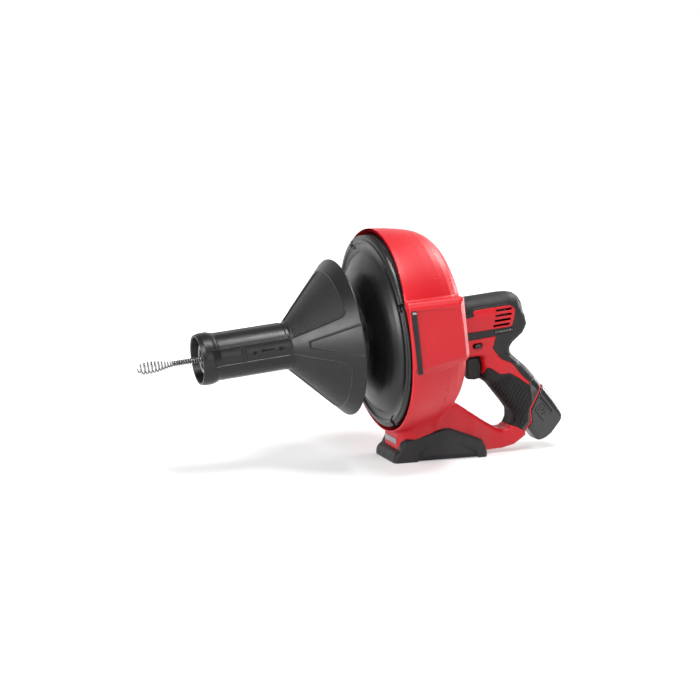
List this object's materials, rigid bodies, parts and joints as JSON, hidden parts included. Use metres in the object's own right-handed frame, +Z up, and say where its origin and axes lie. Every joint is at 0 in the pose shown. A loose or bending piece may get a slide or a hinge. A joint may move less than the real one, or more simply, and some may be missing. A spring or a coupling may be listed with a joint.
{
  "type": "drain snake machine",
  "caption": "Cordless drum drain cleaner: shrouded cable drum, funnel sleeve with slide chuck, bulb-head cable, pistol grip, battery and flat base boot.",
  "frame": {"origin": "centre of the flat underside of the base boot", "axes": "+Z up, +X towards the battery and grip, nose and cable towards -X, Y across the tool; the drum axis lies in the XZ plane tipped 5.9 degrees nose-down"},
  "size_m": [0.6163, 0.2838, 0.3211],
  "materials": {
    "shell_red": "moulded glass-filled nylon, satin",
    "overmould_charcoal": "soft overmoulded elastomer",
    "drum_black": "moulded plastic, fine texture",
    "sleeve_black": "moulded plastic, stippled panels",
    "battery_black": "moulded plastic, satin",
    "plate_grey": "blank plate, brushed",
    "lens_grey": "dark translucent window",
    "steel": "machined steel",
    "cable_steel": "wound steel wire",
    "zinc": "die-cast alloy",
    "winding": "wound copper and laminations",
    "board_green": "circuit board",
    "cell_green": "sleeved cell",
    "lead_insulation": "insulated lead wire"
  },
  "bodies": {
    "root": {"drum_shroud": "shell_red", "shroud_side_strips": "overmould_charcoal", "left_housing": "shell_red", "right_housing": "shell_red", "motor_overmould": "overmould_charcoal", "grip_overmould": "overmould_charcoal", "base_boot": "overmould_charcoal", "rating_plate": "plate_grey", "gauge_window": "lens_grey", "housing_screws": "steel", "gearcase": "zinc", "output_bearing": "steel", "ring_gear": "steel", "motor_can": "steel", "motor_magnets": "drum_black", "motor_endcap": "drum_black", "trigger_switch": "drum_black", "control_board": "board_green", "terminal_block": "drum_black", "motor_leads": "lead_insulation"},
    "drum": {"drum_rear": "drum_black", "drum_front": "drum_black", "drum_screws": "steel", "output_carrier": "steel", "spout_tube": "zinc", "cable_guide": "drum_black", "cable_coil": "cable_steel"},
    "rotor": {"motor_rotor": "winding", "motor_pinion": "steel", "cooling_fan": "drum_black"},
    "carrier_a": {"first_carrier": "steel"},
    "planet_a_one": {"planet_a1": "steel"},
    "planet_a_two": {"planet_a2": "steel"},
    "planet_a_three": {"planet_a3": "steel"},
    "planet_b_one": {"planet_b1": "steel"},
    "planet_b_two": {"planet_b2": "steel"},
    "planet_b_three": {"planet_b3": "steel"},
    "chuck": {"chuck_collar": "zinc", "sleeve_bearings": "steel"},
    "sleeve": {"funnel_sleeve": "sleeve_black"},
    "jaw_a": {"jaw_1": "steel"},
    "jaw_b": {"jaw_2": "steel"},
    "jaw_c": {"jaw_3": "steel"},
    "cable": {"cable_lead": "cable_steel", "auger_head": "cable_steel"},
    "trigger_body": {"trigger": "overmould_charcoal"},
    "selector": {"direction_selector": "drum_black"},
    "battery": {"battery_case": "battery_black", "battery_cells": "cell_green"},
    "latch_left": {"battery_latch_left": "battery_black"},
    "latch_right": {"battery_latch_right": "battery_black"}
  },
  "joints": [
    {"name": "drum_spin", "type": "hinge", "parent": "root", "child": "drum", "pos_m": [-0.04621, 0, 0.18361], "axis": [0.9947, 0, 0.1028], "continuous": true},
    {"name": "motor_spin", "type": "hinge", "parent": "root", "child": "rotor", "pos_m": [0.07315, 0, 0.19595], "axis": [0.9947, 0, 0.1028], "continuous": true},
    {"name": "carrier_a_spin", "type": "hinge", "parent": "root", "child": "carrier_a", "pos_m": [0.02939, 0, 0.19142], "axis": [0.9947, 0, 0.1028], "continuous": true},
    {"name": "planet_a1_spin", "type": "hinge", "parent": "carrier_a", "child": "planet_a_one", "pos_m": [0.0365, 0, 0.18094], "axis": [0.9947, 0, 0.1028], "continuous": true},
    {"name": "planet_b1_spin", "type": "hinge", "parent": "drum", "child": "planet_b_one", "pos_m": [0.02516, 0, 0.17977], "axis": [0.9947, 0, 0.1028], "continuous": true},
    {"name": "planet_a2_spin", "type": "hinge", "parent": "carrier_a", "child": "planet_a_two", "pos_m": [0.03478, 0.00966, 0.19759], "axis": [0.9947, 0, 0.1028], "continuous": true},
    {"name": "planet_b2_spin", "type": "hinge", "parent": "drum", "child": "planet_b_two", "pos_m": [0.02344, 0.00966, 0.19642], "axis": [0.9947, 0, 0.1028], "continuous": true},
    {"name": "planet_a3_spin", "type": "hinge", "parent": "carrier_a", "child": "planet_a_three", "pos_m": [0.03478, -0.00966, 0.19759], "axis": [0.9947, 0, 0.1028], "continuous": true},
    {"name": "planet_b3_spin", "type": "hinge", "parent": "drum", "child": "planet_b_three", "pos_m": [0.02344, -0.00966, 0.19642], "axis": [0.9947, 0, 0.1028], "continuous": true},
    {"name": "chuck_slide", "type": "slide", "parent": "drum", "child": "chuck", "axis": [0.9947, 0, 0.1028], "range_m": [0, 0.012]},
    {"name": "sleeve_spin", "type": "hinge", "parent": "chuck", "child": "sleeve", "pos_m": [-0.22526, 0, 0.16511], "axis": [0.9947, 0, 0.1028], "continuous": true},
    {"name": "cable_feed", "type": "slide", "parent": "drum", "child": "cable", "axis": [-0.9947, 0, -0.1028], "range_m": [0, 0.12]},
    {"name": "jaw_a_close", "type": "slide", "parent": "drum", "child": "jaw_a", "axis": [0.1028, 0, -0.9947], "range_m": [0, 0.0029]},
    {"name": "jaw_b_close", "type": "slide", "parent": "drum", "child": "jaw_b", "axis": [-0.0514, 0.866, 0.4974], "range_m": [0, 0.0029]},
    {"name": "jaw_c_close", "type": "slide", "parent": "drum", "child": "jaw_c", "axis": [-0.0514, -0.866, 0.4974], "range_m": [0, 0.0029]},
    {"name": "trigger_pull", "type": "slide", "parent": "root", "child": "trigger_body", "axis": [0.9947, 0, 0.1028], "range_m": [0, 0.006], "stiffness_N_per_m": 900, "springref_m": -0.003},
    {"name": "direction_select", "type": "slide", "parent": "root", "child": "selector", "axis": [0, 1, 0], "range_m": [-0.0025, 0.0025]},
    {"name": "battery_slide", "type": "slide", "parent": "root", "child": "battery", "axis": [0.6428, 0, -0.766], "range_m": [0, 0.085]},
    {"name": "latch_left_press", "type": "slide", "parent": "battery", "child": "latch_left", "axis": [0, 1, 0], "range_m": [0, 0.0022], "stiffness_N_per_m": 1500, "springref_m": -0.001},
    {"name": "latch_right_press", "type": "slide", "parent": "battery", "child": "latch_right", "axis": [0, -1, 0], "range_m": [0, 0.0022], "stiffness_N_per_m": 1500, "springref_m": -0.001}
  ],
  "couplings": [
    {"joint": "motor_spin", "follows": "drum_spin", "ratio": 36},
    {"joint": "carrier_a_spin", "follows": "drum_spin", "ratio": 6},
    {"joint": "planet_a1_spin", "follows": "drum_spin", "ratio": -15},
    {"joint": "planet_b1_spin", "follows": "drum_spin", "ratio": -2.5},
    {"joint": "planet_a2_spin", "follows": "drum_spin", "ratio": -15},
    {"joint": "planet_b2_spin", "follows": "drum_spin", "ratio": -2.5},
    {"joint": "planet_a3_spin", "follows": "drum_spin", "ratio": -15},
    {"joint": "planet_b3_spin", "follows": "drum_spin", "ratio": -2.5},
    {"joint": "jaw_a_close", "follows": "chuck_slide", "ratio": 0.2416},
    {"joint": "jaw_b_close", "follows": "chuck_slide", "ratio": 0.2416},
    {"joint": "jaw_c_close", "follows": "chuck_slide", "ratio": 0.2416}
  ]
}
